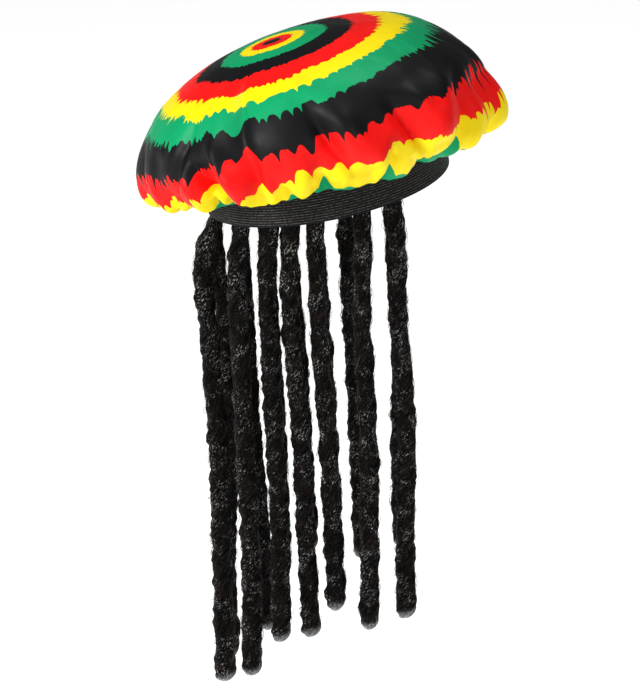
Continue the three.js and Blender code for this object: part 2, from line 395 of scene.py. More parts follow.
def printed_colour(n, flat):
    """The print's colour at a flat place on the cloth."""
    distance = n.vector("LENGTH", flat)
    direction = n.vector("NORMALIZE", flat)
    colour = INKS[RINGS[-1][0]]
    for number in range(len(RINGS) - 2, -1, -1):
        ink, outer, reach, teeth = RINGS[number]
        edge = n.add("ShaderNodeGroup", node_tree=TORN_EDGE)
        n.fill(edge, {"Distance": distance, "Direction": direction, "Edge": outer, "Reach": reach})
        n.fill(edge, {"Teeth": teeth, "Seed": 17.3 * number + 4.0})
        colour = n.mix(edge.outputs["Inside"], colour, INKS[ink])
    return colour


def flat_place(n):
    """The point's place on the flat cloth, in metres from its middle, out of the UV map."""
    uv = n.add("ShaderNodeUVMap", uv_map="flat_cut")
    return n.vector("SCALE", n.vector("SUBTRACT", uv.outputs[0], (0.5, 0.5, 0)), scale=2 * CLOTH_RADIUS)


REVERSE_COLOUR = (0.62, 0.58, 0.52, 1)
REVERSE_SHARE = 0.62
TWILL_SCALE = 320.0


def satin_material(name, reverse):
    material, n, shader = new_material(name)
    flat = flat_place(n)
    colour = printed_colour(n, flat)
    if reverse:
        colour = n.mix(REVERSE_SHARE, colour, REVERSE_COLOUR)
    worn = n.noise(flat, 40.0, detail=3.0)
    darker = n.mix(0.12, colour, (0, 0, 0, 1))
    n.fill(shader, {"Base Color": n.mix(n.remap(worn, 0.45, 0.75), colour, darker)})
    n.fill(shader, {"Roughness": n.remap(worn, 0.3, 0.7, 0.46, 0.58), "Specular IOR Level": 0.17})
    twill = n.add("ShaderNodeTexWave", wave_type="BANDS", bands_direction="DIAGONAL")
    n.fill(twill, {"Vector": flat, "Scale": TWILL_SCALE, "Distortion": 0.6})
    dents = n.noise(flat, 26.0, detail=2.0)
    dented = n.bump(dents, 0.35, 0.004)
    n.put(shader.inputs["Normal"], n.bump(twill.outputs["Fac"], 0.12, 0.0002, dented))
    return material


SATIN = satin_material("printed_satin", reverse=False)
SATIN_REVERSE = satin_material("satin_reverse", reverse=True)

# %% [markdown]
# ## The shape of the crown
# A gathered circle puffs up into a cushion: smooth on top, full at its widest line, and rolled under to the
# band. It leans back and to the wearer's left. The shape is worked out from the headband's oval and the
# crown's own disc, with one short row for each side, as the solid's source does it.

# %% The band's oval and the crown's disc
RIM_LENGTH = 0.196
RIM_WIDTH = 0.158
BAND_HEIGHT = 0.030
BAND_WALL = 0.0018
BAND_PITCH = math.radians(9.5)
SEAM_GAP = 0.0006
CUFF_DEPTH = 0.008

BAND_FORWARD = Vector((math.cos(BAND_PITCH), 0, math.sin(BAND_PITCH)))
BAND_LEFT = Vector((0, 1, 0))
BAND_UP = BAND_FORWARD.cross(BAND_LEFT)


def band_point(turn, inset, up):
    """A point on the band's oval, set in from its outside and raised above its lower rim."""
    forward = (RIM_LENGTH / 2 - inset) * math.cos(turn)
    left = (RIM_WIDTH / 2 - inset) * math.sin(turn)
    return forward * BAND_FORWARD + left * BAND_LEFT + up * BAND_UP


def band_outward(turn):
    """The way out from the band, square to its oval."""
    return (math.cos(turn) / RIM_LENGTH * BAND_FORWARD + math.sin(turn) / RIM_WIDTH * BAND_LEFT).normalized()


DISC_LENGTH = 0.296
DISC_WIDTH = 0.262
DISC_CENTRE = Vector((-0.012, 0.006, 0.052))
DISC_LEAN_BACK = math.radians(16.6)
DISC_LEAN_LEFT = math.radians(10.1)
DOME_HEIGHT = 0.073
TOP_SHIFT = 0.008
DISC_UP = Vector(
    (
        -math.sin(DISC_LEAN_BACK),
        math.sin(DISC_LEAN_LEFT),
        math.cos(DISC_LEAN_BACK) * math.cos(DISC_LEAN_LEFT),
    )
).normalized()
DISC_SIDEWAYS = DISC_UP.cross(Vector((1, 0, 0))).normalized()
DISC_FORWARDS = DISC_SIDEWAYS.cross(DISC_UP)


def disc_point(turn, out, up):
    forward = DISC_LENGTH / 2 * out * math.cos(turn)
    sideways = DISC_WIDTH / 2 * out * math.sin(turn)
    return DISC_CENTRE + forward * DISC_FORWARDS + sideways * DISC_SIDEWAYS + up * DISC_UP


# %% How the cloth hangs on each side
ROLL_FALL = 0.046
ROLL_SWELL = 0.022
HEM_TUCK = 0.026
HEM_SAG = 0.030
SIDE_COLUMNS = ("fall", "swell", "tuck", "sag", "full", "square")
# One row for each eighth of a turn from the front over the wearer's left, with shares of the sizes above.
SIDES = {
    "front": (1.0, 1.3, 1.0, 0.3, 0.985, 2.05),
    "front left": (1.0, 0.8, 1.0, 0.5, 1.0, 2.3),
    "left": (0.8, 0.3, 1.0, 0.7, 1.0, 2.1),
    "back left": (0.7, 0.1, 1.0, 0.8, 1.0, 1.9),
    "back": (0.66, 0.2, 1.0, 0.45, 0.985, 1.8),
    "back right": (0.75, 0.1, 0.8, 0.1, 0.99, 1.9),
    "right": (0.8, 0.2, 0.7, -0.1, 1.0, 2.1),
    "front right": (0.9, 0.7, 0.8, 0.0, 1.0, 2.1),
}


def smoothstep(value, low, high):
    share = min(1.0, max(0.0, (value - low) / (high - low)))
    return share * share * (3 - 2 * share)


def side_values(turn):
    """The row of the sides table at any turn, with a smooth curve between its rows."""
    rows = list(SIDES.values())
    place = (turn % math.tau) / math.tau * len(rows)
    index = int(place) % len(rows)
    share = smoothstep(place - int(place), 0, 1)
    pair = zip(rows[index], rows[(index + 1) % len(rows)])
    return dict(zip(SIDE_COLUMNS, (a + (b - a) * share for a, b in pair)))


def smooth_cloth(turn, along, side):
    """The cloth before its folds. Along is 0 at the top, 1 at the widest line and 2 at the band."""
    if along <= 1:
        bow = 2 / side["square"]
        out = math.sin(along * math.pi / 2) ** bow * side["full"]
        up = max(0.0, math.cos(along * math.pi / 2)) ** bow
        return disc_point(turn, out, DOME_HEIGHT * up) - TOP_SHIFT * up * up * DISC_FORWARDS
    share = along - 1
    outward = band_outward(turn)
    start = disc_point(turn, side["full"], 0)
    end = band_point(turn, 0, BAND_HEIGHT + SEAM_GAP)
    falling = start - ROLL_FALL * side["fall"] * DISC_UP + ROLL_SWELL * side["swell"] * outward
    rising = end + HEM_TUCK * side["tuck"] * outward - HEM_SAG * side["sag"] * BAND_UP
    near, far = 1 - share, share
    return near**3 * start + 3 * near**2 * far * falling + 3 * near * far**2 * rising + far**3 * end


print("crown: top at", [round(x, 3) for x in smooth_cloth(0, 0, side_values(0))])

# %% [markdown]
# A circle that is drawn in to a band half its size has cloth to spare, and the spare cloth stands in folds.
# Near the band they are narrow and even, and further out they run together into a few soft ones. The named
# ones on the wearer's right are those that show in the photograph, and the others are made like them. All of
# them move the cloth along its own normal.

# %% The gathers and folds
GATHER_COUNT = 24
GATHER_DEPTH = 0.0068
FOLD_DEPTH = 0.010
# Turn and width in degrees, depth as a share of the fold depth, where it runs, its slant in degrees for each
# unit of the way, and how sharp its bottom is, from 0 for a soft roll to 1 for a crease.
FOLDS = {
    "S crease, back right": (233, 3.8, -2.2, 0.8, 1.35, 24, 0.75),
    "roll right of it": (240, 4.0, 1.0, 0.72, 1.12, 18, 0.0),
    "roll left of it": (225, 4.5, 0.8, 0.7, 1.3, 12, 0.0),
    "back slanting crease": (221, 3.4, -1.0, 0.55, 1.15, -26, 0.6),
    "red pouch": (243.5, 4.6, 1.0, 0.9, 1.35, 2, 0.0),
    "shadow beside the pouch": (250, 2.6, -1.0, 0.85, 1.5, -4, 0.6),
    "pleat under the pouch": (237, 2.4, -1.7, 1.0, 1.8, 0, 0.8),
    "second pleat": (229.5, 2.4, -1.5, 1.0, 1.8, -6, 0.8),
    "third pleat": (218, 3.0, -1.1, 1.0, 1.85, 4, 0.7),
    "long crease": (250, 3.4, -0.75, 0.3, 1.04, -4, 0.7),
    "bright roll left of it": (241, 6.0, 0.42, 0.35, 0.9, 4, 0.0),
    "small pleat": (258, 2.4, -1.0, 1.05, 1.85, 6, 0.8),
    "middle crease": (276, 3.8, -1.2, 0.66, 1.3, 12, 0.7),
    "roll beside the middle crease": (284, 6.0, 0.8, 0.75, 1.35, 10, 0.0),
    "pleat at the hem": (271, 2.6, -1.6, 1.02, 1.9, 0, 0.8),
    "slanting fold": (304, 3.4, -1.4, 0.85, 1.45, 16, 0.7),
    "roll beside the slanting fold": (310, 5.0, 0.7, 0.8, 1.25, 8, 0.0),
    "hem pocket": (295, 2.8, -1.7, 1.05, 1.9, -4, 0.8),
    "front edge fold": (326, 3.8, -1.9, 0.8, 1.8, -14, 0.7),
    "front ridge": (318, 5.5, 0.8, 0.75, 1.3, -13, 0.0),
    "hem lifted at the front right": (314, 8.0, -0.45, 1.2, 1.95, 0, 0.0),
    "hem lifted at the back right": (236, 8.0, -0.7, 1.15, 1.9, 0, 0.0),
    "front pleat": (344, 4.0, -0.9, 0.9, 1.85, 6, 0.6),
    "front crease": (8, 4.5, -0.8, 0.85, 1.85, 10, 0.6),
    "front roll": (355, 6.0, 0.5, 0.75, 1.6, 4, 0.0),
    "front left crease": (30, 4.0, -1.0, 0.8, 1.8, -8, 0.6),
    "swell at the top, front left": (44, 26, 0.36, 0.3, 1.0, 0, 0.0),
    "front left pleat": (52, 3.2, -0.9, 1.0, 1.85, 4, 0.8),
    "left crease": (70, 5, -1.1, 0.7, 1.8, 8, 0.6),
    "left pleat": (92, 3.6, -0.9, 0.95, 1.85, -6, 0.8),
    "left roll": (104, 7, 0.6, 0.7, 1.6, 6, 0.0),
    "far crease": (118, 4.0, -1.0, 0.72, 1.7, 10, 0.6),
    "back left crease": (140, 5, -1.1, 0.7, 1.7, -8, 0.6),
    "back left pleat": (152, 3.0, -0.9, 1.0, 1.85, 4, 0.8),
    "back pleat": (164, 4.0, -0.9, 0.9, 1.8, 6, 0.7),
    "back roll": (176, 7, 0.6, 0.7, 1.6, 0, 0.0),
    "back crease": (190, 4.6, -1.0, 0.7, 1.7, 8, 0.6),
    "back right pleat": (207, 3.6, -0.9, 0.9, 1.85, -6, 0.7),
}


def gather_offset(turn, along):
    """The even gathers at the band, which fade out towards the widest line."""
    wander = 0.12 * math.sin(2 * turn + 0.6) + 0.05 * math.sin(5 * turn + 1.9) + 0.02 * math.sin(11 * turn)
    lean = 0.10 * math.sin(3 * turn + 1) * (along - 1.5)
    lobe = abs(math.cos(GATHER_COUNT * (turn / 2 + wander + lean))) ** 0.45
    uneven = 1 + 0.5 * noise.noise(Vector((math.cos(turn) * 3, math.sin(turn) * 3, 2.7)))
    fade = smoothstep(along, 0.9, 1.5) * (1 - smoothstep(along, 1.8, 2))
    return GATHER_DEPTH * (lobe - 0.8) * fade * uneven


def named_fold_offset(turn, along):
    """The folds of the table."""
    offset = 0.0
    for centre, wide, depth, start, stop, slant, sharp in FOLDS.values():
        middle = math.radians(centre + slant * (along - (start + stop) / 2))
        aside = abs((turn - middle + math.pi) % math.tau - math.pi) / math.radians(wide)
        if aside > 4:
            continue
        share = min(1.0, max(0.0, (along - start) / (stop - start)))
        section = (1 - sharp) * math.exp(-aside * aside) + sharp * math.exp(-1.7 * aside)
        offset += FOLD_DEPTH * depth * section * math.sin(math.pi * share)
    return offset


def soft_crumple(turn, along):
    """Smaller soft folds that run mostly up and down the side, and finer pleats close to the band."""
    round_about = Vector((math.cos(turn), math.sin(turn), 0))
    ridge = 1 - 2.6 * abs(noise.noise(round_about * 3.4 + Vector((0, 0, along * 1.5))))
    small = noise.noise(round_about * 7.8 + Vector((7, 3, along * 3.4)))
    side = smoothstep(along, 0.55, 1.25) * (1 - smoothstep(along, 1.8, 2))
    pleat = 1 - 3 * abs(noise.noise(round_about * 15 + Vector((1, 6, along * 2.0))))
    hem = smoothstep(along, 1.15, 1.5) * (1 - smoothstep(along, 1.85, 2))
    return side * (0.0022 * (ridge - 0.5) + 0.0016 * small) + hem * 0.0018 * (pleat - 0.4)


# %% [markdown]
# The mesh is made flat, as the cloth is. A straight row of points is spun into a disc, and each point's flat
# place goes into the UV map. Only then is each point carried to its place on the puffed crown. Up to the
# widest line the cloth lies smooth, so a point's distance from the middle is measured along the curve.

# %% The flat disc
TURNS = 240
DOME_ROWS = 22
ROLL_ROWS = 23
CUFF_ROWS = 3


def row_alongs():
    """How far along each row of the cloth lies, from the middle to the seam at the band."""
    dome = [math.sin(math.pi / 2 * row / DOME_ROWS) ** 1.15 for row in range(DOME_ROWS + 1)]
    dome = [0.35 * along + 0.65 * row / DOME_ROWS for row, along in enumerate(dome)]
    return dome + [1 + row / ROLL_ROWS for row in range(1, ROLL_ROWS + 1)]


def flat_disc():
    """A disc of rows and turns. Each vertex's row and turn can be read back from its flat place."""
    rows = len(row_alongs()) + CUFF_ROWS
    bm = bmesh.new()
    spoke = [bm.verts.new((row * MM, 0, 0)) for row in range(rows)]
    edges = [bm.edges.new(pair) for pair in zip(spoke, spoke[1:])]
    spin_round(bm, spoke + edges, TURNS)
    return bm


EASED_WIDEST = 0.165  # the cloth at the widest line, pulled in to the same ring all round
EASED_FROM = 0.12


def length_tables(turn):
    """Each row's distance from the middle on the flat cloth, for one turn."""
    side = side_values(turn)
    points = [smooth_cloth(turn, along, side) for along in row_alongs()]
    lengths = [0.0]
    for a, b in zip(points, points[1:]):
        lengths.append(lengths[-1] + (b - a).length)
    widest = lengths[DOME_ROWS]
    spare = widest - EASED_WIDEST
    eased = [length - spare * smoothstep(length, EASED_FROM, widest) for length in lengths]
    share = (CLOTH_RADIUS - EASED_WIDEST) / ROLL_ROWS
    return eased[: DOME_ROWS + 1] + [EASED_WIDEST + share * row for row in range(1, ROLL_ROWS + 1)]


# %% The puffed crown
CUFF_INSET = BAND_WALL + SEAM_GAP
CUFF_CLOTH = 0.009  # the cloth of the cuff, beyond the seam


def crown_point(turn, along):
    """The folded cloth's place."""
    step = 1e-3
    side = side_values(turn)
    here = smooth_cloth(turn, along, side)
    below = smooth_cloth(turn, min(2.0, along + step), side)
    above = smooth_cloth(turn, max(0.0, along - step), side)
    next_side = side_values(turn + step)
    beside = smooth_cloth(turn + step, along, next_side)
    normal = (below - above).cross(beside - here)
    if normal.length < 1e-14:
        return here
    offset = gather_offset(turn, along) + named_fold_offset(turn, along) + soft_crumple(turn, along)
    return here + offset * normal.normalized()


def cuff_point(turn, row):
    """The cloth turned over the band's top and down inside it."""
    drop = CUFF_DEPTH * (row - 1) / (CUFF_ROWS - 1)
    return band_point(turn, CUFF_INSET, BAND_HEIGHT + SEAM_GAP - drop)


LONG_CREASE = 248.5  # degrees
CREASE_REACH = 9  # degrees
CREASE_CLOTH = 0.009
# Turn and width in degrees, how much cloth the pleat has swallowed there, and where along it starts.
SWALLOWED = [
    (230.5, 1.7, 0.012, 0.95),
    (238.0, 2.2, 0.015, 0.95),
    (258.5, 1.8, 0.006, 1.1),
    (271.5, 1.8, 0.009, 1.05),
    (295.5, 2.0, 0.012, 1.05),
    (326.0, 2.0, 0.012, 0.9),
    (52.0, 2.2, 0.009, 1.0),
    (92.0, 2.2, 0.010, 1.0),
    (152.0, 2.2, 0.009, 1.0),
    (190.0, 2.2, 0.010, 0.95),
]


def slip(turn, along):
    """How much further out on the flat cloth a point is, because hand gathers are never even."""
    round_about = Vector((math.cos(turn), math.sin(turn), 0.0))
    uneven = noise.noise(round_about * 2.2 + Vector((0, 0, 5)))
    small = noise.noise(round_about * 6.5 + Vector((0, 0, 9)))
    gathered = 0.005 * uneven + 0.004 * small
    gathered *= smoothstep(along, 0.7, 1.3) * (1 - smoothstep(along, 1.7, 2))
    # The long crease has swallowed some cloth, and the rings are broken off where they meet it.
    past = math.degrees(turn) - LONG_CREASE
    broken = smoothstep(past, -0.8, 0.8) * math.exp(-((past / CREASE_REACH) ** 2)) * CREASE_CLOTH
    gathered += broken * smoothstep(along, 0.3, 0.6) * (1 - smoothstep(along, 0.9, 1.15))
    for centre, wide, amount, start in SWALLOWED:
        aside = (math.degrees(turn) - centre) / wide
        reaches = smoothstep(along, start, start + 0.2) * (1 - smoothstep(along, 1.5, 1.9))
        gathered += amount * math.exp(-aside * aside) * reaches
    return gathered


MIDDLE_ASIDE = 0.016


def flat_aside(along):
    """How far the middle of the cloth is pulled to the wearer's right, where it puffs up off centre."""
    share = 1 - smoothstep(along, 0.1, 0.9)
    return Vector((0.0, MIDDLE_ASIDE)) * share


def puffed_crown():
    bm = flat_disc()
    alongs = row_alongs()
    tables = {}
    flat = bm.loops.layers.uv.new("flat_cut")
    places = {}
    for vert in bm.verts:
        row = round(vert.co.length / MM)
        turn = math.atan2(vert.co.y, vert.co.x) % math.tau if row else 0.0
        key = round(turn / math.tau * TURNS) % TURNS
        if key not in tables:
            tables[key] = length_tables(turn)
        if row < len(alongs):
            radius = tables[key][row] + slip(turn, alongs[row])
            place = crown_point(turn, alongs[row])
        else:
            beyond = row - len(alongs) + 1
            radius = CLOTH_RADIUS + CUFF_CLOTH * beyond / CUFF_ROWS
            place = cuff_point(turn, beyond)
        flat_at = radius * Vector((math.cos(turn), math.sin(turn)))
        if row < len(alongs):
            flat_at += flat_aside(alongs[row])
        places[vert] = (place, flat_at / (2 * CLOTH_RADIUS) + Vector((0.5, 0.5)))
    for face in bm.faces:
        for loop in face.loops:
            loop[flat].uv = places[loop.vert][1]
    for vert, (place, _) in places.items():
        vert.co = place
    bmesh.ops.recalc_face_normals(bm, faces=bm.faces)
    return finished_mesh(bm, "satin_crown")


def shown(mesh):
    """An object for a finished mesh, at the origin, riding with the hat."""
    piece = linked(mesh.name, mesh)
    mesh.polygons.foreach_set("use_smooth", [True] * len(mesh.polygons))
    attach(piece, "root")
    return piece


# %% [markdown]
# The folds so far are drawn, and drawn folds look carved. So the cloth is let loose for a moment: it gets a
# little more room than it has, more towards the band, and the simulation finds where real cloth would buckle.
# The middle and the seam hold it in its place, and no point may go further than a few millimetres.

# %% The cloth settles
SETTLE_FRAMES = 18
SPARE_CLOTH = -0.6  # the cloth grows by this share at the band
HELD_TOP = 0.5
HELD_SIDE = 0.06
FARTHEST_TOP = 0.003
FARTHEST_SIDE = 0.008
SEAM_HELD = 0.003  # this much of the cloth at the seam doesn't move
CLOTH_SETTINGS = {
    "quality": 6,
    "mass": 0.12,
    "tension_stiffness": 60,
    "compression_stiffness": 60,
    "shear_stiffness": 10,
    "bending_stiffness": 0.2,
    "air_damping": 3,
    "vertex_group_mass": "held",
    "pin_stiffness": 0.6,
    "vertex_group_shrink": "spare",
    "shrink_min": 0.0,
    "shrink_max": SPARE_CLOTH,
}


def flat_radius(mesh):
    """Each vertex's distance from the middle of the flat cloth, out of the UV map."""
    radius = [0.0] * len(mesh.vertices)
    for loop, place in zip(mesh.loops, mesh.uv_layers["flat_cut"].data):
        radius[loop.vertex_index] = 2 * CLOTH_RADIUS * math.hypot(place.uv.x - 0.5, place.uv.y - 0.5)
    return radius


def weighted_group(holder, name, weights):
    group = holder.vertex_groups.new(name=name)
    for index, weight in enumerate(weights):
        group.add([index], weight, "REPLACE")


def settle(mesh):
    """Runs the cloth from the drawn folds, and moves the mesh to where it came to rest."""
    holder = linked("settling", mesh.copy())
    radius = flat_radius(mesh)
    held = [HELD_TOP + (HELD_SIDE - HELD_TOP) * smoothstep(r, 0.06, 0.17) for r in radius]
    held = [1.0 if r > CLOTH_RADIUS - SEAM_HELD else share for r, share in zip(radius, held)]
    weighted_group(holder, "held", held)
    weighted_group(holder, "spare", [smoothstep(r, 0.10, 0.20) for r in radius])
    cloth = holder.modifiers.new("cloth", "CLOTH")
    for name, value in CLOTH_SETTINGS.items():
        setattr(cloth.settings, name, value)
    cloth.settings.effector_weights.gravity = 0.2
    cloth.collision_settings.use_collision = False
    cloth.point_cache.frame_start = 1
    cloth.point_cache.frame_end = SETTLE_FRAMES
    scene = bpy.context.scene
    for frame in range(1, SETTLE_FRAMES + 1):
        scene.frame_set(frame)
    settled = holder.evaluated_get(bpy.context.evaluated_depsgraph_get()).to_mesh()
    farthest = 0.0
    for vert, rest, r in zip(mesh.vertices, settled.vertices, radius):
        limit = FARTHEST_TOP + (FARTHEST_SIDE - FARTHEST_TOP) * smoothstep(r, 0.11, 0.17)
        move = rest.co - vert.co
        farthest = max(farthest, move.length)
        if move.length > 0:
            move *= limit * math.tanh(move.length / limit) / move.length
        vert.co = vert.co + move
    bpy.data.objects.remove(holder)
    scene.frame_set(1)
    print("cloth: came to rest up to", round(farthest * 1000, 1), "mm away")


crown_mesh = puffed_crown()
# The outside of the cloth faces up on the dome.
if sum(face.normal.z for face in crown_mesh.polygons if face.center.z > 0.1) < 0:
    crown_mesh.flip_normals()
settle(crown_mesh)

# %% [markdown]
# One subdivision rounds the folds, and Solidify gives the sheet its thickness, inward, with the cloth's
# reverse as the second material. Both are worked out once and kept as a plain mesh.

# %% The finished crown
CLOTH_THICKNESS = 0.0008


def worked_out(mesh, **modifiers):
    """The mesh with its modifiers applied."""
    holder = linked("holder", mesh)
    for kind, settings in modifiers.items():
        modifier = holder.modifiers.new(kind, kind)
        for name, value in settings.items():
            setattr(modifier, name, value)
    name = mesh.name
    made = evaluated_mesh(holder)
    bpy.data.meshes.remove(mesh)
    made.name = name
    return made


crown_mesh.materials.append(SATIN)
crown_mesh.materials.append(SATIN_REVERSE)
crown_mesh = worked_out(
    crown_mesh,
    SUBSURF={"levels": 1, "render_levels": 1, "use_limit_surface": False},
    SOLIDIFY={"thickness": CLOTH_THICKNESS, "offset": -1, "material_offset": 1},
)
crown = shown(crown_mesh)
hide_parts("crown")
print("crown:", len(crown_mesh.polygons), "faces")

# %% [markdown]
# ## The ribbed headband
# The band is wide black elastic: rubber threads inside run round it, and between them the knitted cover
# stands up in ribs. Its section is drawn once, with its round ribs, and spun. Each point then moves to the
# oval, in the band's own tipped frame.

# %% The headband
RIB_COUNT = 14
RIB_DEPTH = 0.0005
BAND_TURNS = 240
RIB_STEPS = 6
DRAFT_RADIUS = 0.2
INNER_RIB_DEPTH = 0.0003
OUTER_EDGE = 0.0004  # how much the band's edges are rounded off outside
INNER_EDGE = 0.0003
STITCHES_ROUND = 460


def band_section():
    """The band's section as pairs of inset and height, up the outside and down the inside."""
    section = []
    for step in range(RIB_COUNT * RIB_STEPS + 1):
        share = step / RIB_STEPS
        bulge = abs(math.sin(math.pi * share)) ** 0.6
        edge = OUTER_EDGE if step in (0, RIB_COUNT * RIB_STEPS) else 0.0
        section.append((RIB_DEPTH * (1 - bulge) + edge, share * BAND_HEIGHT / RIB_COUNT))
    for step in range(RIB_COUNT * 2, -1, -1):
        share = step / 2
        bulge = abs(math.sin(math.pi * share))
        edge = INNER_EDGE if step in (0, RIB_COUNT * 2) else 0.0
        inset = BAND_WALL - INNER_RIB_DEPTH * (1 - bulge) - edge
        section.append((inset, share * BAND_HEIGHT / RIB_COUNT))
    return section


def ribbed_headband():
    bm = bmesh.new()
    verts = [bm.verts.new((DRAFT_RADIUS - inset, 0, up)) for inset, up in band_section()]
    edges = [bm.edges.new(pair) for pair in zip(verts, verts[1:] + verts[:1])]
    spin_round(bm, verts + edges, BAND_TURNS)
    bmesh.ops.recalc_face_normals(bm, faces=bm.faces)
    knit = bm.loops.layers.uv.new("round_the_band")
    for face in bm.faces:
        turns = [math.atan2(loop.vert.co.y, loop.vert.co.x) % math.tau / math.tau for loop in face.loops]
        over_the_join = max(turns) - min(turns) > 0.5
        for loop, share in zip(face.loops, turns):
            wound = share + 1 if over_the_join and share < 0.5 else share
            loop[knit].uv = (wound, loop.vert.co.z / BAND_HEIGHT)
    for vert in bm.verts:
        turn = math.atan2(vert.co.y, vert.co.x)
        inset = DRAFT_RADIUS - math.hypot(vert.co.x, vert.co.y)
        vert.co = band_point(turn, inset, vert.co.z)
    return finished_mesh(bm, "ribbed_headband")


def elastic_material():
    """Black knitted elastic: fine stitches round it, greyer threads between the ribs, a darker lower edge."""
    material, n, shader = new_material("elastic")
    parts = n.split(n.add("ShaderNodeUVMap", uv_map="round_the_band").outputs[0])
    around = parts["X"]
    height = parts["Y"]
    stitch = n.math("SINE", n.times(around, math.tau * STITCHES_ROUND))
    rib = n.math("SINE", n.times(height, math.tau * RIB_COUNT))
    groove = n.remap(n.math("COSINE", n.times(height, math.tau * RIB_COUNT)), 0.35, 1.0)
    place = n.add("ShaderNodeCombineXYZ")
    n.fill(place, {"X": n.times(around, 330.0), "Y": n.times(height, 9.0)})
    uneven = n.noise(place.outputs[0], 1.0, detail=2.0)
    thread = n.times(groove, n.remap(uneven, 0.40, 0.62, 0.2, 1.0))
    colour = n.mix(thread, (0.0036, 0.0033, 0.0032, 1), (0.12, 0.112, 0.105, 1))
    colour = n.mix(n.remap(height, 0.02, 0.09), (0.002, 0.003, 0.005, 1), colour)
    n.fill(shader, {"Base Color": colour, "Roughness": 0.7, "Specular IOR Level": 0.12})
    n.fill(shader, {"Sheen Weight": 0.08, "Sheen Roughness": 0.5})
    knit_height = n.plus(n.times(n.times(stitch, rib), 0.5), uneven)
    n.put(shader.inputs["Normal"], n.bump(knit_height, 0.5, 0.0003))
    return material


band_mesh = ribbed_headband()
band_mesh.materials.append(elastic_material())
band = shown(band_mesh)
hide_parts("headband")
print("headband:", len(band_mesh.polygons), "faces")

# %% [markdown]
# ## The locks
# Each lock is a bundle of artificial hair, rolled and felted until it holds its shape. Strands wind round it
# at a slant, it swells and narrows, and loose fibres stand off it everywhere. A tube could be textured to
# look like that from afar, but its outline would be too clean. So each lock has a twisted, lumpy core, and a
# few hundred real fibres are wound on it, with short ones standing off.

# %% The locks' table
LOCK_LENGTH = 0.415
LOCK_THICKNESS = 0.015
ROOT_HEIGHT = 0.017
ROOT_WIDTH = 0.015
ROOT_THICKNESS = 0.005
ROOT_DROP = 0.003
FLARE_DROP = 0.026
TIP_LENGTH = 0.009
LUMP_DEPTH = 0.0014
LUMP_SPACING = 0.042
TIP_SWELL = 0.002
STRAND_WIND = 105  # radians for each metre
# Turn in degrees, shares of length and thickness, the stray to the front at five depths, and the shift out.
LOCKS = [
    (-57, 0.87, 1.05, (0.1, 0.0, 0.3, 0.1, 0.0), 0.1),
    (-74, 0.87, 1.05, (-0.05, -0.22, -0.08, -0.19, -0.33), 0.15),
    (-97, 0.81, 1.0, (-0.03, -0.02, 0.2, 0.33, 0.38), 0.1),
    (-109, 0.86, 1.0, (-0.2, -0.2, 0.1, 0.16, 0.25), 0.15),
    (-120, 0.87, 1.05, (-0.27, -0.31, -0.21, -0.15, -0.29), 0.1),
    (-139, 0.95, 1.1, (-0.33, -0.27, -0.24, -0.17, -0.37), 0.1),
    (-172, 1.0, 1.12, (-0.75, -0.55, -0.35, -0.42, -0.53), 0.0),
    (163, 0.99, 1.05, (-0.25, 0.15, 0.16, -0.3, -0.36), 0.1),
    (139, 0.97, 1.0, (-0.1, -0.03, 0.05, 0.3, 0.52), 0.1),
    (120, 0.86, 1.0, (-0.27, -0.31, -0.21, -0.15, -0.2), 0.1),
    (109, 0.84, 1.0, (-0.2, -0.16, 0.1, 0.18, 0.25), 0.1),
    (97, 0.82, 1.0, (-0.03, 0.02, 0.22, 0.33, 0.36), 0.15),
    (81, 0.88, 1.0, (-0.12, -0.07, 0.1, 0.2, 0.23), 0.1),
    (57, 0.86, 1.0, (0.05, 0.05, 0.25, 0.05, 0.0), 0.1),
]
STRAY_DEPTHS = (0, 0.1, 0.25, 0.5, 0.75, 1)


def stray(values, share):
    """A smooth curve through the strays, by Catmull and Rom's rule."""
    values = (0.0, *values)
    last = len(values) - 1
    index = next((i for i in range(1, last + 1) if STRAY_DEPTHS[i] >= share), last) - 1
    t = (share - STRAY_DEPTHS[index]) / (STRAY_DEPTHS[index + 1] - STRAY_DEPTHS[index])
    before, here, after, beyond = (values[min(last, max(0, index + k))] for k in (-1, 0, 1, 2))
    lean, next_lean = (after - before) / 2, (beyond - here) / 2
    cubic = (2 * here - 2 * after + lean + next_lean) * t**3
    square = (-3 * here + 3 * after - 2 * lean - next_lean) * t**2
    return (cubic + square + lean * t + here) * LOCK_THICKNESS


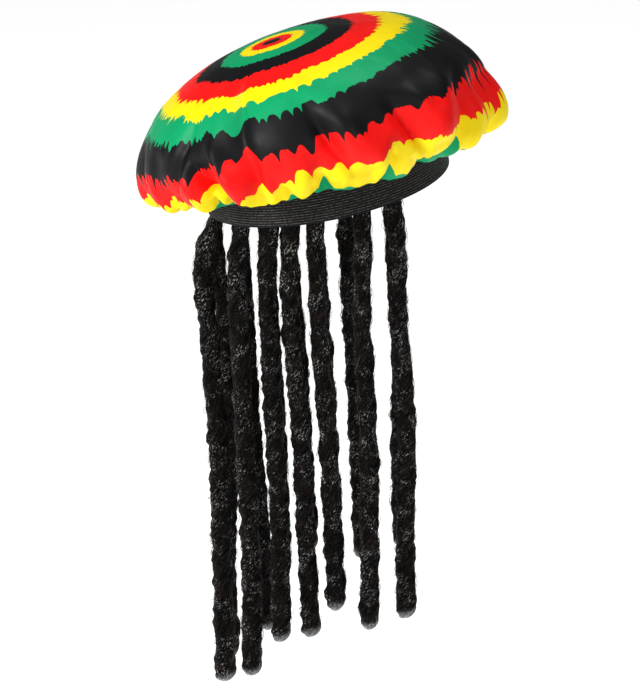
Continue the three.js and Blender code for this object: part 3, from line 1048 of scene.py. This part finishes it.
class Lock:
    """One lock's place and thickness at every depth below the band's rim."""

    def __init__(self, number, row):
        turn, long, self.girth, self.strays, self.out = row
        self.number = number
        self.turn = math.radians(turn)
        self.long = LOCK_LENGTH * long
        self.outward = band_outward(self.turn)
        self.tangent = -self.outward.cross(BAND_UP)
        self.inset = BAND_WALL + SEAM_GAP + ROOT_THICKNESS / 2
        self.rim = band_point(self.turn, self.inset, 0)

    def centre(self, hung):
        """The middle of the lock. It is on the band above the rim, and hangs straight down below it."""
        if hung < 0:
            return band_point(self.turn, self.inset, -hung)
        shift = smoothstep(hung, ROOT_DROP, FLARE_DROP) * self.out * LOCK_THICKNESS
        place = self.rim + shift * self.outward
        place.x += stray(self.strays, min(1.0, hung / self.long))
        place.z -= hung
        return place

    def halves(self, hung):
        """Half the width and half the thickness there."""
        rounded = smoothstep(hung, ROOT_DROP, FLARE_DROP)
        girth = self.girth * LOCK_THICKNESS + TIP_SWELL * (hung / self.long - 0.5)
        lump = rounded * LUMP_DEPTH * math.sin(hung * math.tau / LUMP_SPACING + self.number * 2.4)
        wide = ROOT_WIDTH + (girth - lump - ROOT_WIDTH) * rounded
        thick = ROOT_THICKNESS + (girth + lump - ROOT_THICKNESS) * rounded
        end = max(0.0, (hung - self.long + TIP_LENGTH) / TIP_LENGTH)
        closing = math.sqrt(max(0.0, 1 - min(1.0, end) ** 2))
        return wide / 2 * closing, thick / 2 * closing

    def twist(self, hung):
        """How far the strands have wound round at this depth."""
        wind = STRAND_WIND + 25 * math.sin(self.number * 1.7)
        slow = noise.noise(Vector((hung * 16, self.number * 3.1, 0)))
        return wind * hung + 1.6 * slow

    def surface(self, around, hung, lift=0.0):
        """A point on the lock's skin, or off it by a lift."""
        wide, thick = self.halves(hung)
        strand = around - self.twist(hung)
        rounded = smoothstep(hung, 0.0, FLARE_DROP)
        furrow = abs(math.sin(1.5 * strand + 0.7 * self.number)) ** 0.7 - 0.6
        side = Vector((math.cos(strand), math.sin(strand), 0))
        lumpy = noise.noise(side * 1.2 + Vector((0, 0, hung * 42 + self.number * 9)))
        knobby = noise.noise(side * 2.1 + Vector((3, 1, hung * 150 + self.number * 5)))
        grow = 1 + rounded * (0.12 * furrow + 0.20 * lumpy + 0.14 * knobby - 0.07)
        across = (wide * grow + lift) * math.cos(around) * self.tangent
        through = (thick * grow + lift) * math.sin(around) * self.outward
        return self.centre(hung) + across + through


print("locks:", len(LOCKS), "in all, the longest", LOCK_LENGTH, "m")

# %% [markdown]
# The hair is dark brown, almost black, and its gloss where the fibres lie together is painted, as pale glints
# in clusters. The streaks follow the strands, so the material reads an attribute with each point's place
# round and along the strands. Near the end the hair was sealed with heat: it is glossier there, paler from
# the seal, and has pale specks painted there as highlight streaks.

# %% The hair material
DARKEST_HAIR = (0.0005, 0.0004, 0.0003, 1)
BROWN_HAIR = (0.0155, 0.0108, 0.0082, 1)
PAINTED_GLINT_COLOUR = (0.62, 0.60, 0.58, 1)
SEALED_AND_PAINTED_HIGHLIGHT = (0.42, 0.42, 0.415, 1)


def hair_material(name, fibre):
    material, n, shader = new_material(name)
    place = n.add("ShaderNodeTexCoord").outputs["Object"]
    if fibre:
        streak = n.noise(place, 150.0, detail=1.0)
        speck = n.noise(place, 620.0)
    else:
        strand = n.add("ShaderNodeAttribute", attribute_type="GEOMETRY", attribute_name="along_the_strands")
        wound = strand.outputs["Vector"]
        streak = n.noise(n.vector("MULTIPLY", wound, (6.0, 6.0, 90.0)), 1.0, detail=3.0, rough=0.7)
        speck = n.noise(n.vector("MULTIPLY", wound, (8.0, 8.0, 560.0)), 1.0, detail=1.0)
    colour = n.mix(n.remap(streak, 0.42, 0.72), DARKEST_HAIR, BROWN_HAIR)
    # The glints are painted highlights: pale colour in clusters, and hardly any between them.
    cluster = n.remap(n.noise(place, 84.0, detail=2.0), 0.44, 0.70, 0.05, 1.0)
    glint = n.times(n.remap(speck, 0.58, 0.70), cluster)
    glint = n.times(glint, n.remap(streak, 0.40, 0.60, 0.3, 1.0))
    colour = n.mix(glint, colour, PAINTED_GLINT_COLOUR)
    if fibre:
        n.fill(shader, {"Base Color": colour, "Roughness": 0.5, "Specular IOR Level": 0.07})
        return material
    tip = n.add("ShaderNodeAttribute", attribute_type="GEOMETRY", attribute_name="near_the_tip")
    sealed = tip.outputs["Fac"]
    # Near the tip the seal makes the hair paler, and the pale specks there are painted highlight streaks.
    sealed_and_painted_streaks = n.times(sealed, n.remap(speck, 0.46, 0.62, 0.12, 0.7))
    n.put(shader.inputs["Base Color"], n.mix(sealed_and_painted_streaks, colour, SEALED_AND_PAINTED_HIGHLIGHT))
    rough = n.remap(streak, 0.3, 0.8, 0.40, 0.62)
    n.put(shader.inputs["Roughness"], n.minus(rough, n.times(sealed, 0.22)))
    n.put(shader.inputs["Specular IOR Level"], n.remap(sealed, 0.0, 1.0, 0.03, 0.8))
    height = n.plus(n.times(streak, 0.6), n.times(speck, 0.5))
    n.put(shader.inputs["Normal"], n.bump(height, 1.0, 0.0026))
    return material


HAIR_CORE = hair_material("felted_hair", fibre=False)
HAIR_FIBRE = hair_material("loose_hair", fibre=True)

# %% [markdown]
# The core starts as a small circle of points. The ring is extruded again and again, and each new ring is
# moved to the next section of the lock. The first and last rings are closed.

# %% The cores
LOCK_SIDES = 24
LOCK_ROWS = 150
SEALED_FROM = 0.011  # above the lock's end
SEALED_FULLY = 0.003


def core_depths(lock):
    """Depths of the core's sections, closer together at both ends."""
    upper = [-ROOT_HEIGHT, -ROOT_HEIGHT + 0.001, -0.008, 0.0, ROOT_DROP]
    straight = lock.long - TIP_LENGTH
    middle = [ROOT_DROP + (straight - ROOT_DROP) * row / LOCK_ROWS for row in range(1, LOCK_ROWS + 1)]
    end = [straight + TIP_LENGTH * share for share in (0.3, 0.55, 0.75, 0.9, 0.97)]
    return upper + middle + end


def place_ring(lock, ring, hung, layer, tip_layer):
    for side, vert in enumerate(ring):
        around = math.tau * side / len(ring)
        vert.co = lock.surface(around, hung)
        strand = around - lock.twist(hung)
        vert[layer] = Vector((math.cos(strand), math.sin(strand), hung))
        vert[tip_layer] = smoothstep(hung, lock.long - SEALED_FROM, lock.long - SEALED_FULLY)


def lock_core(lock):
    bm = bmesh.new()
    layer = bm.verts.layers.float_vector.new("along_the_strands")
    tip_layer = bm.verts.layers.float.new("near_the_tip")
    ring = bmesh.ops.create_circle(bm, segments=LOCK_SIDES, radius=0.5, cap_ends=False)["verts"]
    ring.sort(key=lambda vert: math.atan2(vert.co.y, vert.co.x) % math.tau)
    edges = list(bm.edges)
    depths = core_depths(lock)
    first = ring
    place_ring(lock, ring, depths[0], layer, tip_layer)
    for hung in depths[1:]:
        made = bmesh.ops.extrude_edge_only(bm, edges=edges)["geom"]
        fresh = {item for item in made if isinstance(item, bmesh.types.BMVert)}
        above = {}
        for vert in ring:
            others = (edge.other_vert(vert) for edge in vert.link_edges)
            above[vert] = next(other for other in others if other in fresh)
        made_edges = [item for item in made if isinstance(item, bmesh.types.BMEdge)]
        edges = [edge for edge in made_edges if all(vert in fresh for vert in edge.verts)]
        ring = [above[vert] for vert in ring]
        place_ring(lock, ring, hung, layer, tip_layer)
    for end in (first, ring):
        bmesh.ops.contextual_create(bm, geom=end)
    bmesh.ops.recalc_face_normals(bm, faces=bm.faces)
    return finished_mesh(bm, f"lock_core_{lock.number:02d}")


# %% [markdown]
# The fibres are thin curves. A long one follows the strands for one to three centimetres, and its ends sink
# in. A short one bends away from the lock. All curves of a lock become one mesh, joined to its core.

# %% The fibres
LONG_FIBRES = 230
SHORT_FIBRES = 170
FIBRE_RADIUS = 0.00017
LONG_STEPS = 12
SHORT_STEPS = 5


def long_fibre(lock, dice):
    """A crimped fibre that winds with the strands, and lifts off them in the middle."""
    length = dice.uniform(0.012, 0.034)
    start = dice.uniform(0.002, lock.long - length - 0.004)
    around = dice.uniform(0, math.tau)
    spare = dice.uniform(0.0, 1.0) ** 3 * 0.0020
    lean = dice.uniform(-60, 60)
    crimp = dice.uniform(0.08, 0.34)
    waves = dice.uniform(2, 5)
    phase = dice.uniform(0, math.tau)
    points = []
    for step in range(LONG_STEPS + 1):
        share = step / LONG_STEPS
        hung = start + length * share
        wave = crimp * math.sin(waves * math.tau * share + phase)
        turn = around + lock.twist(hung) - lock.twist(start) + lean * length * share + wave
        bow = math.sin(math.pi * share)
        lift = 0.00025 + spare * bow - 0.0007 * (1 - bow)
        points.append(lock.surface(turn, hung, lift + 0.0003 * math.cos(waves * math.tau * share)))
    return points


def short_fibre(lock, dice):
    """A bent fibre that stands off the lock."""
    hung = dice.uniform(0.004, lock.long - 0.003)
    around = dice.uniform(0, math.tau)
    reach = 0.0006 + dice.uniform(0, 1) ** 2.5 * 0.0022
    run = dice.uniform(-0.007, 0.007)
    turn = dice.uniform(-0.8, 0.8)
    points = []
    for step in range(SHORT_STEPS + 1):
        share = step / SHORT_STEPS
        depth = min(lock.long - 0.002, max(0.002, hung + run * share))
        lift = -0.0006 + reach * math.sin(share * math.pi * 0.7)
        points.append(lock.surface(around + turn * share, depth, lift))
    return points


def fibre_mesh(lock):
    dice = random.Random(100 + lock.number)
    curve = bpy.data.curves.new("fibres", "CURVE")
    curve.dimensions = "3D"
    curve.bevel_depth = FIBRE_RADIUS
    curve.bevel_resolution = 0
    curve.use_fill_caps = False
    lines = [long_fibre(lock, dice) for _ in range(LONG_FIBRES)]
    lines += [short_fibre(lock, dice) for _ in range(SHORT_FIBRES)]
    for line in lines:
        spline = curve.splines.new("POLY")
        spline.points.add(len(line) - 1)
        for number, (point, place) in enumerate(zip(spline.points, line)):
            point.co = (*place, 1)
            share = number / (len(line) - 1)
            point.radius = 0.35 + 0.65 * math.sin(math.pi * (0.08 + 0.84 * share))
    mesh = evaluated_mesh(linked("fibres", curve))
    bpy.data.curves.remove(curve)
    return mesh


def joined(name, meshes, materials):
    """One mesh from several, each with its own material."""
    bm = bmesh.new()
    for index, mesh in enumerate(meshes):
        count = len(bm.faces)
        bm.from_mesh(mesh)
        bm.faces.ensure_lookup_table()
        for face in bm.faces[count:]:
            face.material_index = index
        bpy.data.meshes.remove(mesh)
    whole = finished_mesh(bm, name)
    for material in materials:
        whole.materials.append(material)
    return whole


total = 0
for number, row in enumerate(LOCKS, start=1):
    lock = Lock(number, row)
    parts = [lock_core(lock), fibre_mesh(lock)]
    mesh = joined(f"lock_{number:02d}", parts, [HAIR_CORE, HAIR_FIBRE])
    piece = shown(mesh)
    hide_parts(f"dreadlock_{number:02d}")
    total += len(mesh.polygons)
print("locks:", total, "faces")

# %% [markdown]
# ## Stitches
# Inside, a row of stitches holds the turned-down cloth to the band, and two short rows hold each lock's flat
# root. The band's two ends meet in a pale zigzag at the front right. A stitch is only a small bead, drawn out
# long, because hundreds of them are seen from half a metre away.

# %% The stitches
THREAD_RADIUS = 0.00035
JOIN_TURN = math.radians(-17)
SEAM_STITCHES = 170
SEAM_DROP = 0.0045  # from the band's top edge down to the seam
JOIN_STITCHES = 10


def add_stitch(bm, place, along, outward, length, radius=THREAD_RADIUS):
    """One stitch, a low bead along a direction."""
    across = outward.cross(along)
    turn = Matrix((along * length / 2, across * radius, outward * radius)).transposed().to_4x4()
    bmesh.ops.create_icosphere(bm, subdivisions=1, radius=1.0, matrix=Matrix.Translation(place) @ turn)


def seam_stitches(bm):
    """Slanting stitches round the inside of the turned-down cloth."""
    inset = CUFF_INSET + CLOTH_THICKNESS + THREAD_RADIUS * 0.4
    for number in range(SEAM_STITCHES):
        turn = math.tau * number / SEAM_STITCHES
        inward = -band_outward(turn)
        along = (inward.cross(BAND_UP) + 0.25 * (-1) ** number * BAND_UP).normalized()
        place = band_point(turn, inset, BAND_HEIGHT - SEAM_DROP)
        add_stitch(bm, place, along, (inward - inward.dot(along) * along).normalized(), 0.0031)


def root_stitches(bm, lock):
    """Two rows of stitches across a lock's root."""
    inset = BAND_WALL + SEAM_GAP + ROOT_THICKNESS - 0.0001
    for height in (0.004, 0.012):
        for number in range(4):
            middle = band_point(lock.turn, inset, height) + (number - 1.5) * 0.0031 * lock.tangent
            add_stitch(bm, middle, lock.tangent, -lock.outward, 0.0026, 0.00045)


def join_stitches(bm):
    """A zigzag up the outside of the band where its ends meet."""
    outward = band_outward(JOIN_TURN)
    sideways = outward.cross(BAND_UP)
    for number in range(JOIN_STITCHES):
        along = (BAND_UP + 0.8 * (-1) ** number * sideways).normalized()
        place = band_point(JOIN_TURN, -0.0001, 0.0155 + number * 0.00135)
        add_stitch(bm, place, along, outward, 0.0021, 0.0003)


def thread_material(name, colour):
    """Twisted thread, with a fine ply across it."""
    material, n, shader = new_material(name)
    ply = n.noise(n.add("ShaderNodeTexCoord").outputs["Object"], 2600.0, detail=1.0)
    darker = tuple(0.55 * channel for channel in colour[:3]) + (1,)
    n.fill(shader, {"Base Color": n.mix(n.remap(ply, 0.4, 0.6), darker, colour), "Roughness": 0.6})
    n.put(shader.inputs["Normal"], n.bump(ply, 0.6, 0.0002))
    return material


def stitched_piece(name, fill, material):
    bm = bmesh.new()
    fill(bm)
    mesh = finished_mesh(bm, name)
    mesh.materials.append(material)
    piece = shown(mesh)
    print(name + ":", len(mesh.polygons), "faces")


def inside_rows(bm):
    seam_stitches(bm)
    for number, row in enumerate(LOCKS, start=1):
        root_stitches(bm, Lock(number, row))


BLACK_THREAD = thread_material("black_thread", (0.045, 0.043, 0.042, 1))
stitched_piece("inside_stitches", inside_rows, BLACK_THREAD)
PALE_THREAD = thread_material("pale_thread", (0.30, 0.29, 0.28, 1))
stitched_piece("join_stitches", join_stitches, PALE_THREAD)
